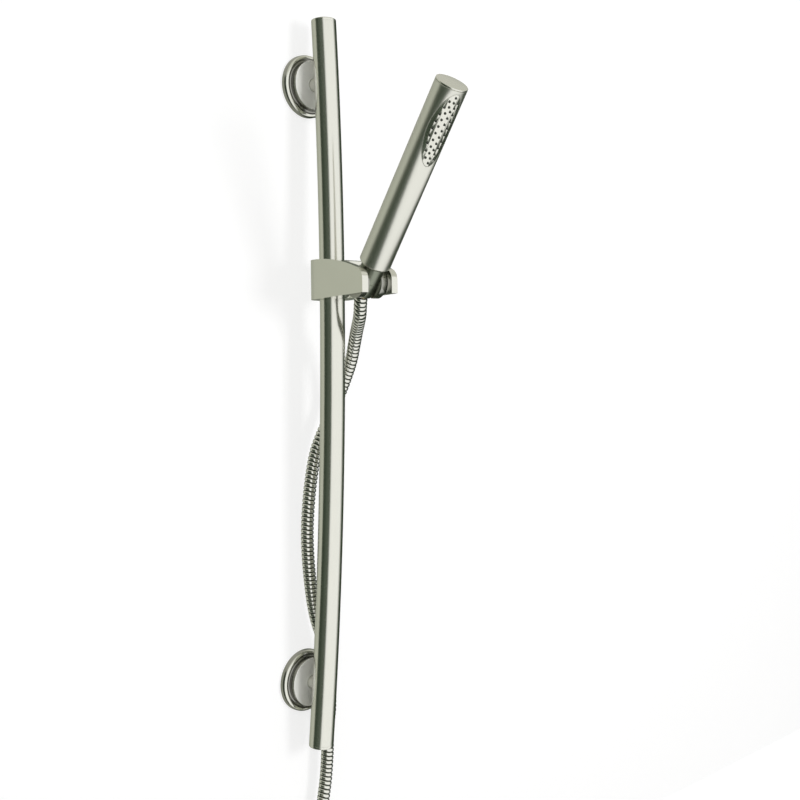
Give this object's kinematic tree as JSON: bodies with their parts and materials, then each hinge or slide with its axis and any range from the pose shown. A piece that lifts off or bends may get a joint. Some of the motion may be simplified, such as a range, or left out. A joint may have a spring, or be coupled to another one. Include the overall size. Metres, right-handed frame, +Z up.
{
  "type": "hand shower on slide rail",
  "caption": "Curved slide rail on two wall brackets, with a clamping slider, a tilting holder, a round baton hand shower with an oval spray plate, and a metal hose.",
  "frame": {"origin": "on the wall, midway between the two brackets", "axes": "+X to the right along the wall, -Y from the wall into the room, +Z up"},
  "size_m": [0.171, 0.282, 0.9435],
  "materials": {
    "rail": "satin nickel",
    "slider": "satin nickel",
    "handset": "satin nickel",
    "nut": "satin nickel",
    "plate": "satin nickel",
    "hose": "bright wound metal strip",
    "steel": "plain",
    "brass": "turned",
    "rubber": "soft, matte",
    "plastic": "moulded",
    "black": "moulded"
  },
  "bodies": {
    "rail": {"rail_tube": "rail", "rail_cap_top": "rail", "rail_cap_bottom": "rail", "saddle_top": "brass", "saddle_bottom": "brass", "post_top": "rail", "post_bottom": "rail", "joining_screw_top": "steel", "joining_screw_bottom": "steel", "flange_top": "rail", "flange_bottom": "rail", "wall_plate_top": "steel", "wall_plate_bottom": "steel", "grub_screw_top": "steel", "grub_screw_bottom": "steel", "wall_bolt_top": "steel", "wall_bolt_bottom": "steel", "hose_upper": "hose", "hose_lower": "hose", "hose_coil": "hose", "coil_strap": "black", "hose_tail": "hose", "supply_ferrule": "brass"},
    "bush": {"slider_bush": "plastic"},
    "slider": {"slider_fork": "slider", "brake_pad": "black", "brake_springs": "steel", "brake_screw": "steel", "pivot_pin_near": "steel", "pivot_pin_far": "steel", "friction_washer_near": "black", "friction_washer_far": "black"},
    "holder": {"holder_barrel": "slider"},
    "hose_end": {"hose_ferrule": "brass"},
    "handset": {"hose_nut": "nut", "nut_washer": "rubber", "handset_shell": "handset", "handset_cap": "handset", "handset_neck": "brass", "neck_o_ring": "rubber", "flow_limiter": "plastic", "water_tube": "plastic", "tube_seal": "rubber", "spray_chamber": "plastic", "nozzle_mat": "rubber", "spray_plate": "plate"},
    "supply_nut": {"supply_nut": "nut", "supply_washer": "rubber"}
  },
  "joints": [
    {"name": "slide_on_rail", "type": "hinge", "parent": "rail", "child": "bush", "pos_m": [0, 4.36401, 0], "axis": [-1, 0, 0], "range_deg": [-4.7, 1.95], "deforming": ["hose_upper", "hose_lower"]},
    {"name": "swing_on_rail", "type": "hinge", "parent": "bush", "child": "slider", "pos_m": [0, -0.04072, 0.106], "axis": [0, 0.0241, 0.9997], "range_deg": [-50, 65]},
    {"name": "tilt_holder", "type": "hinge", "parent": "slider", "child": "holder", "pos_m": [-0.00757, -0.09836, 0.10139], "axis": [0.9914, -0.1305, 0.0031], "range_deg": [-36.5, 23]},
    {"name": "lift_out", "type": "slide", "parent": "holder", "child": "hose_end", "axis": [-0.0801, -0.5896, 0.8037], "range_m": [0, 0.04]},
    {"name": "turn_handset", "type": "hinge", "parent": "hose_end", "child": "handset", "pos_m": [-0.00757, -0.09836, 0.10139], "axis": [-0.0801, -0.5896, 0.8037], "continuous": true},
    {"name": "turn_supply_nut", "type": "hinge", "parent": "rail", "child": "supply_nut", "pos_m": [0.005, -0.0412, -0.56], "axis": [0, 0, 1], "continuous": true}
  ]
}
